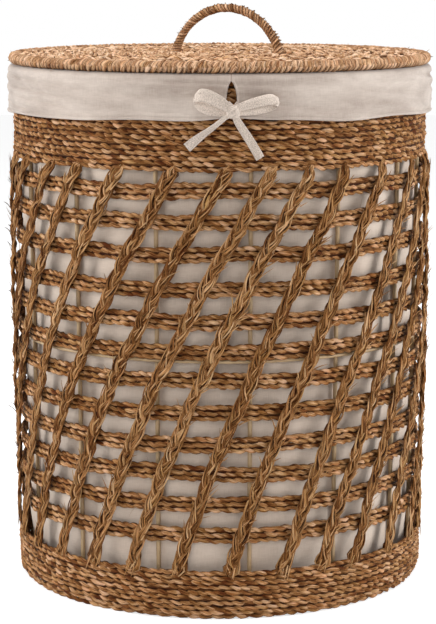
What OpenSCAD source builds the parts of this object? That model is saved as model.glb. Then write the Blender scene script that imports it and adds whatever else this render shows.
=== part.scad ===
// Round laundry basket: a wire frame woven with twisted seagrass rope, an open lattice of
// rope rows and climbing plaits, a cotton liner folded over the rim and tied with a bow,
// and a loose woven lid with a wrapped arch handle. Millimetres, +Z up, origin on the floor
// at the basket's axis. The front of the basket faces -Y.

/* [Basket] */
// Diameter over the solid woven bands
basket_d = 400; // [340:1:460]
// Height of the basket's rim above the floor
basket_h = 498; // [430:1:580]
// Height of the solid band at the foot
foot_band_h = 47; // [30:1:70]
// Depth of the solid band below the rim, with the rim binding
top_band_h = 86; // [62:1:120]
// Height of the woven base's underside above the floor
base_lift = 2.4; // [1:0.1:6]
// How far the lowest courses tuck in under the foot
foot_tuck = 4; // [1:0.5:6]

/* [Rope] */
// Thickness of one twisted rope
rope_d = 4.9; // [4:0.1:6]
// Spacing of stacked ropes, a little under their thickness because they press together
rope_pitch = 4.72; // [3.8:0.02:5.8]
// Thickness of the rope that the basket stands on
foot_rope_d = 5.6; // [5:0.1:8]
// How far the foot rope is pressed flat where the basket stands on it
foot_flat = 0.3; // [0.1:0.1:0.8]
// Thickness of the wrapped roll along the rim
rim_roll_d = 10.4; // [9.4:0.1:12]

/* [Lattice] */
// Open gap between the foot band and the lowest row
foot_cell_h = 24.8; // [14:0.2:32]
// Open gap between the highest row and the top band
top_cell_h = 11; // [8:0.5:24]
// How far the lowest row stands in from the bands
foot_inset = 4.4; // [3:0.1:6]
// How far the highest row stands in from the bands
top_inset = 1.2; // [0.6:0.1:3]
// How far the lattice bellies out at mid-height
belly = 2; // [0:0.1:4]

/* [Plaits] */
// Width of a climbing plait, measured level
plait_w = 14.8; // [10:0.2:18]
// Thickness of a climbing plait
plait_t = 4.6; // [3.4:0.1:5.6]
// How far a plait travels round the basket from foot to top, in degrees
plait_travel = 47.7; // [30:0.1:60]
// How much steeper a plait starts than it ends, as a share of its mean slope
plait_bow = 0.3; // [0:0.05:0.5]
// Width of a plait's splayed foot
plait_foot_w = 21; // [15:0.5:26]
// Height in which the splayed foot narrows to the plait's width
plait_foot_h = 9; // [4:0.5:11]

/* [Wire frame] */
// Thickness of the uprights
upright_d = 4; // [3:0.1:5]
// Thickness of the top and bottom hoops
hoop_d = 5; // [4:0.1:5.8]
// Height of the bottom hoop above the foot rope, centre to centre
bottom_hoop_lift = 2; // [1:0.1:4]
// Thickness of the hoop at mid-height
mid_hoop_d = 3.5; // [2.4:0.1:4]
// Thickness of the woven base
base_t = 5; // [3:0.5:7]

/* [Liner] */
// Thickness of the liner's cotton
cloth_t = 1; // [0.6:0.1:1.6]
// Thickness of the doubled cuff
cuff_t = 1.5; // [1:0.1:2.4]
// How far the outside of the cuff stands out from the bands below it
cuff_stand = 4.9; // [4:0.1:10]
// How far the cuff hangs below the rim
cuff_drop = 43; // [30:1:60]
// Play all round between the liner and the uprights
liner_play = 0.7; // [0.4:0.1:3]
// Height of the tie slit above its widest place
slit_h = 24; // [16:1:26]
// Width of the tie slit
slit_w = 8; // [5:0.5:10]
// Width of the tie tapes
tape_w = 7; // [5:0.5:8]
// Thickness of the tie tapes
tape_t = 1.2; // [0.8:0.1:1.6]

/* [Lid] */
// How far the lid's edge reaches past the bands
lid_over = 3.7; // [2:0.1:15]
// Thickness of the wrapped roll round the lid
lid_roll_d = 10.4; // [9.6:0.1:12]
// Thickness of the lid's woven disc
lid_disc_t = 5.6; // [4:0.2:6]
// How far the disc's top lies below the top of the roll
lid_disc_sink = 1.2; // [0:0.1:3]
// Thickness of the wire inside the lid's roll
lid_hoop_d = 5; // [4:0.1:6]
// Thickness of the two wires under the disc
lid_wire_d = 2.8; // [2:0.1:3]

/* [Handle] */
// Distance between the handle's feet, centre to centre
handle_span = 114; // [100:1:140]
// Height of the handle's centre line above the lid's disc
handle_rise = 42.6; // [36:0.2:50]
// Thickness of the wrapped handle
handle_d = 8.4; // [7:0.1:10]
// Thickness of the handle's wire core
handle_core_d = 4; // [3:0.1:5]
// Turn of the handle on the lid, in degrees
handle_turn = -29; // [-60:1:60]
// Offset of the handle from the lid's centre
handle_shift = 7; // [0:0.5:12]

/* [Hidden] */

GRASS = [0.66, 0.47, 0.27];
GRASS_DARK = [0.55, 0.37, 0.19];
GRASS_LIGHT = [0.76, 0.57, 0.35];
WIRE = [0.70, 0.62, 0.50];
CLOTH = [0.86, 0.82, 0.76];

// Gap between pieces of one body that bear on each other
touch = 0.1;
// Gap between the lid, the liner and the basket, which lift apart
seat = 0.3;

ROWS = 12;             // lattice rows
UPRIGHTS = 14;         // wire uprights
PLAITS = 28;           // climbing plaits
FIRST_UPRIGHT = 8.3;   // angle of the first upright, from the front towards +X
FIRST_PLAIT = 2.9;     // angle of the first plait's foot
RING_FN = 144;         // facets of the large rings
ROPE_FN = 24;          // facets of a rope's section

// The weave is a little uneven, set by hand: how far each row lies above its even height,
ROW_SHIFT = [0, 2, 0.6, -1.7, -2.6, -1.1, 0.9, -0.2, -0.8, 0, 0, 0];
// and how many degrees each plait's foot and top lie off their even places
FOOT_SHIFT = [0, 1.5, -0.2, -2.6, -1.2, 0.6, -0.8, 1.1, 0.4, -1.3, 0.7, 1.6, -0.5, -1,
              0.9, 0.2, -1.4, 0.8, 1.3, -0.6, 0.5, -0.9, 1.2, 0.3, -0.1, -0.5, -1.1, -1.2];
TOP_SHIFT = [-2.1, 0.8, 1.2, -0.7, 0.4, -1.1, 0.9, 1.4, -0.3, -1.5, 0.6, 1, -0.8, 0.5,
             1.2, -0.6, -1.2, 0.7, 1.5, -0.4, 1, -0.9, -0.8, 1.7, 2.7, 1.1, -1.3, -2.6];

basket_r = basket_d / 2;
row_h = 2 * rope_pitch + rope_d;
band_top_z = basket_h - rim_roll_d;
band_bottom_z = basket_h - top_band_h;
row_low_z = foot_band_h + foot_cell_h + row_h / 2;
row_high_z = band_bottom_z - top_cell_h - row_h / 2;
row_pitch = (row_high_z - row_low_z) / (ROWS - 1);

// Share of the way up from the lowest row to the highest one
function climb(z) = (z - row_low_z) / (row_high_z - row_low_z);
// Outer radius of the lattice rows at a height
function lattice_r(z) = basket_r - foot_inset + (foot_inset - top_inset) * climb(z)
    + belly * sin(180 * min(1, max(0, climb(z))));
// Height of a lattice row's centre, row 1 being the highest
function row_z(i) = row_high_z - (i - 1) * row_pitch + ROW_SHIFT[i - 1];

// The uprights lean out with the rows and bear on the inside of the lowest and highest one
upright_foot_r = basket_r - foot_inset - rope_d - upright_d / 2 - touch;
upright_lean = (foot_inset - top_inset) / (row_high_z - row_low_z);
function upright_r(z) = upright_foot_r + upright_lean * (z - row_low_z);

// The foot rope tucks in by foot_tuck, the first course above it by a third of that
foot_rope_z = foot_rope_d / 2 - foot_flat;
foot_rope_r = basket_r - foot_tuck - foot_rope_d / 2;
first_course_z = foot_rope_z + sqrt(pow((foot_rope_d + rope_d) / 2 + touch, 2)
    - pow(foot_tuck * 2 / 3 + (foot_rope_d - rope_d) / 2, 2));
bottom_hoop_z = foot_rope_z + bottom_hoop_lift;
bottom_hoop_r = foot_rope_r - (foot_rope_d + hoop_d) / 2 - touch;
rim_z = basket_h - rim_roll_d / 2;
rim_r = basket_r - rim_roll_d / 2;
top_hoop_r = upright_r(rim_z);
upright_low_z = bottom_hoop_z + hoop_d / 2 + touch;
upright_high_z = rim_z - hoop_d / 2 - touch;
mid_hoop_z = row_z(6) - row_h / 2 - mid_hoop_d / 2 - touch;
mid_hoop_r = upright_r(mid_hoop_z) + (upright_d + mid_hoop_d) / 2 + touch;
base_r = bottom_hoop_r - hoop_d / 2 - touch;

liner_r = min(upright_r(upright_low_z) - upright_d / 2, bottom_hoop_r - hoop_d / 2) - liner_play;
liner_low_z = base_lift + base_t + seat;
cuff_top_z = basket_h + seat + cloth_t;
cuff_r = basket_r + cuff_stand;
cuff_low_z = basket_h - cuff_drop;
shoulder_r = 6;

lid_roll_z = cuff_top_z + seat + lid_roll_d / 2;
lid_roll_r = basket_r + lid_over - lid_roll_d / 2;
lid_disc_top_z = lid_roll_z + lid_roll_d / 2 - lid_disc_sink;
lid_disc_low_z = lid_disc_top_z - lid_disc_t;
lid_disc_r = lid_roll_r - lid_roll_d / 2 - touch;
lid_wire_z = lid_disc_low_z - lid_wire_d / 2 - touch;
lid_wire_r = lid_roll_r - touch
    - sqrt(max(0.1, pow(lid_roll_d / 2, 2) - pow(max(0, lid_roll_z - lid_wire_z - lid_wire_d / 2), 2)));

handle_r = (pow(handle_span / 2, 2) + pow(handle_rise, 2)) / (2 * handle_rise);
handle_z = lid_disc_top_z + handle_rise - handle_r;
handle_core_half = acos((lid_disc_low_z - handle_z) / (handle_r - handle_core_d / 2));
handle_wrap_half = acos((lid_disc_top_z + touch - handle_z) / (handle_r - handle_d / 2));

// Tie tapes, each point as [across, out from the cuff, up, turn of the tape's width]
// from the middle of the knot, the turn in degrees from level
TIE_ANGLE = 2.8;    // angle of the slit round the basket
TIE_DROP = 30.5;    // depth of the tapes' crossing below the rim
TIE_ACROSS = 1.7;   // the crossing lies a little to the side of the slit
SLIT_LIFT = 1.5;    // height of the slit's widest place above the crossing
KNOT_OUT = 4.2;     // middle of the knot in front of the cuff
KNOT_LOW = 1;       // middle of the knot below the crossing
KNOT_W = 11.4;      // knot's width
KNOT_H = 10.6;      // knot's height
KNOT_T = 6.6;       // knot's thickness
LEFT_TAPE = [
    [-5.5, 0.9, 6, 50], [-3, 1.5, 3.5, 50], [0, 2.3, 1, 55], [1.6, 3.5, 0.4, 60],
    [0, 4.9, 1, 64], [-6, 6.4, 4, 62], [-14, 8, 9, 62], [-22, 8.6, 13, 66],
    [-29, 7.6, 14, 70], [-33.6, 4.8, 12, 72], [-33, 2, 8, 72], [-28, 1.1, 4, 68],
    [-20, 1, 0.6, 66], [-12, 1.2, -1.4, 66], [-5, 2.4, -2, 80], [-2, 4.2, -3, 115],
    [-7, 5, -5, 130], [-12, 4.2, -8.5, 135], [-19, 2.4, -14, 135], [-26, 0.6, -20.5, 135],
    [-33, -0.8, -27.5, 135], [-40.4, -1.8, -35, 135]];
RIGHT_TAPE = [
    [5.5, 0.9, 6, 120], [3.6, 1.5, 3.5, 115], [1, 2.5, 1.2, 108], [-1, 3.8, 0.8, 105],
    [1, 5.3, 1.2, 105], [7, 6.6, 3.4, 104], [15, 7.6, 6, 104], [25, 8, 8.4, 104],
    [33.5, 7.2, 10, 102], [39.8, 4.6, 9.4, 100], [39.8, 2, 7, 100], [33, 1.1, 4, 104],
    [24, 1, 1.6, 104], [14, 1.2, -0.6, 104], [6, 2.4, -2, 92], [3, 4.2, -4, 60],
    [5, 4.8, -9, 35], [8.7, 3.2, -15.5, 30], [14.9, 0.6, -26, 30],
    [20.1, -1.2, -35.7, 30], [24.1, -2, -42.7, 30]];
// Corners of a flat eight-sided section, as shares of its half width and half thickness
FLAT_SECTION = [[1, 0.45], [0.8, 1], [-0.8, 1], [-1, 0.45],
                [-1, -0.45], [-0.8, -1], [0.8, -1], [1, -0.45]];

function unit(v) = v / norm(v);

// A point at an angle from the front, towards +X
function at(r, angle, z) = [r * sin(angle), -r * cos(angle), z];

// Closed solid through a list of rings that all have the same number of points
module skin(rings) {
    n = len(rings[0]);
    last = len(rings) - 1;
    points = [for (ring = rings) for (p = ring) p];
    sides = [for (i = [0 : last - 1]) for (j = [0 : n - 1]) for (half = [0, 1])
        half == 0
            ? [i * n + j, (i + 1) * n + (j + 1) % n, i * n + (j + 1) % n]
            : [i * n + j, (i + 1) * n + j, (i + 1) * n + (j + 1) % n]];
    low = [[for (j = [0 : n - 1]) j]];
    high = [[for (j = [n - 1 : -1 : 0]) last * n + j]];
    polyhedron(points = points, faces = concat(sides, low, high), convexity = 8);
}

module ring(r, z, d) {
    rotate_extrude($fn = RING_FN) translate([r, z]) circle(d = d, $fn = ROPE_FN);
}

// Ropes stacked between two heights of their centres; the two lowest can tuck in
module courses(low_z, high_z, tuck) {
    count = ceil((high_z - low_z) / rope_pitch);
    rotate_extrude($fn = RING_FN)
        for (i = [0 : count])
            translate([basket_r - rope_d / 2 - tuck * pow(max(0, 1 - i / 2), 2),
                       low_z + i * (high_z - low_z) / count])
                circle(d = rope_d, $fn = ROPE_FN);
}

// ---- wire frame ----

module bottom_hoop() {
    color(WIRE) ring(bottom_hoop_r, bottom_hoop_z, hoop_d);
}

module mid_hoop() {
    color(WIRE) ring(mid_hoop_r, mid_hoop_z, mid_hoop_d);
}

module top_hoop() {
    color(WIRE) ring(top_hoop_r, rim_z, hoop_d);
}

// One straight upright, leaning out a little with the wall
module upright(angle) {
    foot = at(upright_r(upright_low_z), angle, upright_low_z);
    lean = atan(upright_lean);
    length = (upright_high_z - upright_low_z) / cos(lean);
    translate(foot) rotate([lean, 0, angle]) cylinder(h = length, d = upright_d, $fn = 32);
}

module upright_pair(i) {
    color(WIRE)
        for (side = [0, UPRIGHTS / 2]) upright(FIRST_UPRIGHT + (i - 1 + side) * 360 / UPRIGHTS);
}

// ---- woven wall ----

module foot_rope() {
    color(GRASS_DARK)
        rotate_extrude($fn = RING_FN)
            intersection() {
                translate([foot_rope_r, foot_rope_z]) circle(d = foot_rope_d, $fn = 48);
                translate([foot_rope_r - foot_rope_d, 0]) square(2 * foot_rope_d);
            }
}

module base_disc() {
    color(GRASS_DARK) translate([0, 0, base_lift]) cylinder(h = base_t, r = base_r, $fn = RING_FN);
}

module foot_band() {
    color(GRASS) courses(first_course_z, foot_band_h - rope_d / 2, foot_tuck / 3);
}

module top_band() {
    color(GRASS) courses(band_bottom_z + rope_d / 2, band_top_z - touch - rope_d / 2, 0);
}

// A roll round the top hoop, open underneath where the uprights come up to the hoop
module rim_binding() {
    slot_w = upright_d + 4 * touch;
    color(GRASS_DARK)
        rotate_extrude($fn = RING_FN)
            difference() {
                translate([rim_r, rim_z]) circle(d = rim_roll_d, $fn = 48);
                translate([top_hoop_r, rim_z]) circle(d = hoop_d + 4 * touch, $fn = 48);
                translate([top_hoop_r - slot_w / 2, rim_z - rim_roll_d]) square([slot_w, rim_roll_d]);
            }
}

module lattice_row(i) {
    z = row_z(i);
    color(GRASS_LIGHT)
        rotate_extrude($fn = RING_FN)
            for (course = [-1 : 1])
                translate([lattice_r(z) - rope_d / 2, z + course * rope_pitch])
                    circle(d = rope_d, $fn = ROPE_FN);
}

// ---- climbing plaits ----

plait_low_z = foot_band_h + touch;
plait_high_z = band_bottom_z - touch;
plait_clear = plait_t / 4;
// Heights of a plait's sections: at its foot, just clear of the lowest row, evenly over the
// rows, just clear of the highest row and at its top
PLAIT_STEPS = 10;
plait_z = concat([plait_low_z, plait_low_z + plait_foot_h, row_low_z - row_h / 2 - plait_clear],
    [for (i = [0 : PLAIT_STEPS]) row_low_z + (row_high_z - row_low_z) * i / PLAIT_STEPS],
    [row_high_z + row_h / 2 + plait_clear, plait_high_z]);

function plait_share(z) = (z - plait_low_z) / (plait_high_z - plait_low_z);
// Angle of plait k, counted from 0, at a height
function plait_angle(k, z) =
    let (t = plait_share(z),
         foot = FIRST_PLAIT + k * 360 / PLAITS + FOOT_SHIFT[k],
         travel = plait_travel + TOP_SHIFT[k] - FOOT_SHIFT[k])
    foot + travel * (t + plait_bow * t * (t - 1));
// Radius of the middle of a plait: in front of the rows, tucked between the bands at its ends
function plait_r(z) = (z == plait_low_z || z == plait_high_z)
    ? basket_r - plait_t / 2
    : lattice_r(z) + seat + plait_t / 2;
function plait_width(z) = z == plait_low_z ? plait_foot_w : plait_w;

function plait_ring(k, z) =
    let (a = plait_angle(k, z), r = plait_r(z), half_w = plait_width(z) / 2)
    [for (c = FLAT_SECTION)
        at(r + c[1] * plait_t / 2, a, z) + c[0] * half_w * [cos(a), sin(a), 0]];

module plait_pair(i) {
    color(GRASS_DARK)
        for (k = [i - 1, i - 1 + PLAITS / 2]) skin([for (z = plait_z) plait_ring(k, z)]);
}

// ---- liner ----

module liner_wall() {
    color(CLOTH)
        rotate_extrude($fn = RING_FN)
            translate([liner_r - cloth_t, liner_low_z])
                square([cloth_t, cuff_top_z - cloth_t - liner_low_z]);
}

module liner_floor() {
    color(CLOTH)
        translate([0, 0, liner_low_z])
            cylinder(h = cloth_t, r = liner_r - cloth_t - touch / 2, $fn = RING_FN);
}

// The cuff lies over the rim and hangs outside it, with a round shoulder
module cuff_profile() {
    translate([liner_r - cloth_t, cuff_top_z - cloth_t])
        square([cuff_r - shoulder_r - liner_r + cloth_t, cloth_t]);
    intersection() {
        translate([cuff_r - shoulder_r, cuff_top_z - shoulder_r])
            difference() {
                circle(r = shoulder_r, $fn = 64);
                circle(r = shoulder_r - cloth_t, $fn = 64);
            }
        translate([cuff_r - shoulder_r, cuff_top_z - shoulder_r])
            square(shoulder_r + 1);
    }
    translate([cuff_r - cuff_t, cuff_low_z])
        square([cuff_t, cuff_top_z - shoulder_r - cuff_low_z]);
}

// Almond-shaped slit, pointed at the top, drawn from its widest place upwards
module slit_shape() {
    polygon([[-slit_w / 2, 0], [-slit_w * 0.45, slit_h * 0.35], [-slit_w * 0.28, slit_h * 0.7],
             [0, slit_h], [slit_w * 0.28, slit_h * 0.7], [slit_w * 0.45, slit_h * 0.35],
             [slit_w / 2, 0], [slit_w * 0.3, -slit_h * 0.12], [-slit_w * 0.3, -slit_h * 0.12]]);
}

module liner_cuff() {
    color(CLOTH)
        difference() {
            rotate_extrude($fn = RING_FN) cuff_profile();
            rotate([0, 0, TIE_ANGLE])
                translate([0, -basket_r, tie_z + SLIT_LIFT])
                    rotate([90, 0, 0]) linear_extrude(height = cuff_r) slit_shape();
        }
}

tie_z = basket_h - TIE_DROP;

// Place of a tie point on the curved cuff
function tie_point(p) =
    let (x = cuff_r * sin(TIE_ANGLE) + TIE_ACROSS + p[0],
         r = cuff_r + p[1])
    [x, -sqrt(r * r - x * x), tie_z + p[2]];
function tie_wide(p) =
    let (a = asin((cuff_r * sin(TIE_ANGLE) + TIE_ACROSS + p[0]) / cuff_r))
    [cos(p[3]) * cos(a), cos(p[3]) * sin(a), sin(p[3])];

// A flat tape: each section spans the tape's width and faces along the route
function tape_ring(route, i) =
    let (p = tie_point(route[i]),
         ahead = unit(tie_point(route[min(len(route) - 1, i + 1)]) - tie_point(route[max(0, i - 1)])),
         face = unit(cross(ahead, tie_wide(route[i]))),
         wide = cross(face, ahead))
    [for (c = FLAT_SECTION) p + c[0] * tape_w / 2 * wide + c[1] * tape_t / 2 * face];

module tape(route) {
    color(CLOTH) skin([for (i = [0 : len(route) - 1]) tape_ring(route, i)]);
}

module tie_left() {
    tape(LEFT_TAPE);
}

module tie_right() {
    tape(RIGHT_TAPE);
}

module tie_knot() {
    color(CLOTH)
        translate(tie_point([0, KNOT_OUT, -KNOT_LOW]))
            hull()
                for (x = [-1, 1], z = [-1, 1])
                    translate([x * (KNOT_W - KNOT_T) / 2, 0, z * (KNOT_H - KNOT_T) / 2])
                        sphere(d = KNOT_T, $fn = 20);
}

// ---- lid and handle ----

// Arch of the handle's centre line, by half its opening angle
module arch(half_angle, d) {
    translate([handle_shift, 0, handle_z]) rotate([0, 0, handle_turn])
        rotate([90, 0, 0]) rotate([0, 0, 90 - half_angle])
            rotate_extrude(angle = 2 * half_angle, $fn = RING_FN)
                translate([handle_r, 0]) circle(d = d, $fn = 32);
}

module lid_disc() {
    color(GRASS_LIGHT)
        difference() {
            translate([0, 0, lid_disc_low_z]) cylinder(h = lid_disc_t, r = lid_disc_r, $fn = RING_FN);
            arch(90, handle_core_d + 2 * touch);
        }
}

module lid_hoop() {
    color(WIRE) ring(lid_roll_r, lid_roll_z, lid_hoop_d);
}

module lid_rim_wrap() {
    color(GRASS_LIGHT)
        difference() {
            ring(lid_roll_r, lid_roll_z, lid_roll_d);
            ring(lid_roll_r, lid_roll_z, lid_hoop_d + 2 * touch);
        }
}

// One wire right across under the disc, and two half lengths that meet it in the middle
module lid_wires() {
    color(WIRE)
        translate([0, 0, lid_wire_z]) {
            rotate([0, 90, handle_turn])
                cylinder(h = 2 * lid_wire_r, d = lid_wire_d, center = true, $fn = 24);
            for (side = [0, 180])
                rotate([0, 90, handle_turn + 90 + side])
                    translate([0, 0, lid_wire_d / 2 + touch])
                        cylinder(h = lid_wire_r - lid_wire_d / 2 - touch, d = lid_wire_d, $fn = 24);
        }
}

module handle_core() {
    color(WIRE) arch(handle_core_half, handle_core_d);
}

module handle_wrap() {
    color(GRASS_LIGHT)
        difference() {
            arch(handle_wrap_half, handle_d);
            arch(handle_core_half, handle_core_d + 2 * touch);
        }
}

bottom_hoop();
mid_hoop();
top_hoop();
upright_pair(1);  // upright_pair_1
upright_pair(2);  // upright_pair_2
upright_pair(3);  // upright_pair_3
upright_pair(4);  // upright_pair_4
upright_pair(5);  // upright_pair_5
upright_pair(6);  // upright_pair_6
upright_pair(7);  // upright_pair_7
foot_rope();
base_disc();
foot_band();
top_band();
rim_binding();
lattice_row(1);  // lattice_row_01
lattice_row(2);  // lattice_row_02
lattice_row(3);  // lattice_row_03
lattice_row(4);  // lattice_row_04
lattice_row(5);  // lattice_row_05
lattice_row(6);  // lattice_row_06
lattice_row(7);  // lattice_row_07
lattice_row(8);  // lattice_row_08
lattice_row(9);  // lattice_row_09
lattice_row(10);  // lattice_row_10
lattice_row(11);  // lattice_row_11
lattice_row(12);  // lattice_row_12
plait_pair(1);  // plait_pair_01
plait_pair(2);  // plait_pair_02
plait_pair(3);  // plait_pair_03
plait_pair(4);  // plait_pair_04
plait_pair(5);  // plait_pair_05
plait_pair(6);  // plait_pair_06
plait_pair(7);  // plait_pair_07
plait_pair(8);  // plait_pair_08
plait_pair(9);  // plait_pair_09
plait_pair(10);  // plait_pair_10
plait_pair(11);  // plait_pair_11
plait_pair(12);  // plait_pair_12
plait_pair(13);  // plait_pair_13
plait_pair(14);  // plait_pair_14
liner_wall();
liner_floor();
liner_cuff();
tie_left();
tie_right();
tie_knot();
lid_disc();
lid_hoop();
lid_rim_wrap();
lid_wires();
handle_core();
handle_wrap();
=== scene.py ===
"""Round woven laundry basket: the visible ropes, plaits, cloth and bow around the CAD frame."""

import math
import zlib

import bpy
import numpy as np
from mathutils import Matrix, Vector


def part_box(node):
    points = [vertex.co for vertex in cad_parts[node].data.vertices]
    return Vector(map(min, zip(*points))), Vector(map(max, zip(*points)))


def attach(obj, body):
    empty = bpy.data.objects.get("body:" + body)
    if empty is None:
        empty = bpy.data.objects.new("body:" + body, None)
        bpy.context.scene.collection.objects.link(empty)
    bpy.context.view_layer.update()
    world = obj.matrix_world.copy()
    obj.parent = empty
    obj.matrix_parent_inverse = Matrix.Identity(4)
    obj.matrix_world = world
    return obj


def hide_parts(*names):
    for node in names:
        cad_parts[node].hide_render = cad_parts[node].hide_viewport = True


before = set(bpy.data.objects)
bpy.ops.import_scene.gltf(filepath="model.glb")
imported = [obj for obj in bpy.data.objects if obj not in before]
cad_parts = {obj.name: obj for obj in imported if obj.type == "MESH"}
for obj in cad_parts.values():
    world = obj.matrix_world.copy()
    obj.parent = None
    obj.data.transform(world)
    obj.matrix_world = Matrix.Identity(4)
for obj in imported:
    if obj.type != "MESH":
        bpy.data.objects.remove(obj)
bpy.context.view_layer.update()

MM = 0.001
TURN = 2 * math.pi
UP = np.array([0.0, 0, 1])


# ---- camera and light ----

CAMERA_PLACE = (-0.0016, -2.083, 0.604)
CAMERA_TILT = math.radians(80.45)
CAMERA_LENS = 123.14


def placed(name, data):
    """An object holding data, linked into the scene."""
    made = bpy.data.objects.new(name, data)
    bpy.context.scene.collection.objects.link(made)
    return made


def add_camera():
    data = bpy.data.cameras.new("camera")
    data.lens = CAMERA_LENS
    data.sensor_width = 36
    camera = placed("camera", data)
    camera.location = CAMERA_PLACE
    camera.rotation_euler = (CAMERA_TILT, 0, 0)
    bpy.context.scene.camera = camera


def add_light(name, place, aim, size, watts, colour=(1, 1, 1)):
    data = bpy.data.lights.new(name, "AREA")
    data.shape = "DISK"
    data.size = size
    data.energy = watts
    data.color = colour
    light = placed(name, data)
    light.location = place
    direction = Vector(aim) - Vector(place)
    light.rotation_euler = direction.to_track_quat("-Z", "Y").to_euler()


add_camera()


# ---- numbers and lines ----


def linear(red, green, blue):
    """A colour given as 0 to 255 in sRGB, as the shader wants it."""
    out = []
    for value in (red, green, blue):
        share = value / 255
        out.append(share / 12.92 if share <= 0.04045 else ((share + 0.055) / 1.055) ** 2.4)
    return (*out, 1)


def dice(name):
    """Random numbers that are the same each run."""
    return np.random.default_rng(zlib.crc32(name.encode()))


def clamp(values):
    return np.clip(values, 0, 1)


def eased(values):
    """0 to 1 with a soft start and a soft end."""
    return clamp(values) ** 2 * (3 - 2 * clamp(values))


def bell(offset, width):
    return np.exp(-((offset / width) ** 2))


def unit(vectors):
    return vectors / np.maximum(np.linalg.norm(vectors, axis=-1, keepdims=True), 1e-12)


def wander(rng, count, waves, closed=True):
    """Smooth random values about 1 high, with up to that many waves over count points."""
    share = np.arange(count) / (count if closed else 2 * count)
    wave = np.arange(1, max(2, int(waves)) + 1)
    size = rng.normal(size=len(wave)) / math.sqrt(len(wave) / 2)
    phase = rng.uniform(0, TURN, len(wave))
    return (size[:, None] * np.sin(TURN * wave[:, None] * share + phase[:, None])).sum(0)


def wander_along(rng, line, closed=False):
    """A function that gives smooth random values along a line: the fewer mm it is given, the more waves."""
    whole = lengths(line, closed)[1]
    return lambda length: wander(rng, len(line), whole / (length * MM), closed)


def around(radius, angle, height):
    """Points at an angle from the front, towards +X."""
    radius, angle, height = np.broadcast_arrays(radius, angle, height)
    return np.stack([radius * np.sin(angle), -radius * np.cos(angle), height], -1).astype(float)


def angle_of(points):
    """The angle from the front, towards +X, of points or of one point."""
    return np.arctan2(points[..., 0], -points[..., 1])


def lengths(line, closed=False):
    """How far along the line each point is, and its whole length."""
    ends = np.roll(line, -1, 0) if closed else line[1:]
    steps = np.linalg.norm(ends - line[: len(ends)], axis=1)
    along = np.concatenate([[0], np.cumsum(steps)])
    return along[: len(line)], along[-1]


def read_off(places, along, line):
    """The line's values at places, where along says how far along it each point is."""
    return np.stack([np.interp(places, along, line[:, k]) for k in range(3)], 1)


def resampled(line, step):
    """The line again, with points about step apart."""
    along, whole = lengths(line)
    return read_off(np.linspace(0, whole, max(2, round(whole / step) + 1)), along, line)


def smooth_route(points, per_step):
    """A Catmull-Rom curve through rows of numbers."""
    points = np.array(points, float)
    padded = np.vstack([2 * points[0] - points[1], points, 2 * points[-1] - points[-2]])
    out = []
    for i in range(1, len(padded) - 2):
        before, a, b, after = padded[i - 1 : i + 3]
        for t in np.arange(per_step) / per_step:
            out.append(0.5 * (2 * a + (b - before) * t + (2 * before - 5 * a + 4 * b - after) * t**2
                              + (3 * a - before - 3 * b + after) * t**3))
    return np.array(out + [points[-1]])


def axes_along(line, away, closed=False):
    """Three directions at each point of a line: ahead, to the side, and away made square to both."""
    ahead = unit(np.roll(line, -1, 0) - np.roll(line, 1, 0) if closed else np.gradient(line, axis=0))
    side = unit(np.cross(ahead, away))
    return ahead, side, np.cross(side, ahead)


# ---- meshes ----


def cells(grid, flip=False):
    """The four corners of each cell of a grid, in turn; flip goes round the other way."""
    corners = [grid[:-1, :-1], grid[:-1, 1:], grid[1:, 1:], grid[1:, :-1]]
    if flip:
        corners[1], corners[3] = corners[3], corners[1]
    return np.stack(corners, 2)


def mesh_piece(name, points, sizes, corners, places, **values):
    """A smooth mesh object. sizes counts each face's corners, and places holds their texture places."""
    mesh = bpy.data.meshes.new(name)
    mesh.vertices.add(len(points))
    mesh.vertices.foreach_set("co", points.astype(np.float32).ravel())
    mesh.loops.add(len(corners))
    mesh.loops.foreach_set("vertex_index", corners.astype(np.int32))
    mesh.polygons.add(len(sizes))
    mesh.polygons.foreach_set("loop_start", (np.cumsum(sizes) - sizes).astype(np.int32))
    mesh.polygons.foreach_set("use_smooth", np.ones(len(sizes), bool))
    layer = mesh.uv_layers.new(name="strand")
    layer.data.foreach_set("uv", places.astype(np.float32).ravel())
    for label, numbers in values.items():
        attribute = mesh.attributes.new(label, "FLOAT", "POINT")
        attribute.data.foreach_set("value", numbers.astype(np.float32))
    mesh.update(calc_edges=True)
    mesh.validate()
    return placed(name, mesh)


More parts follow.
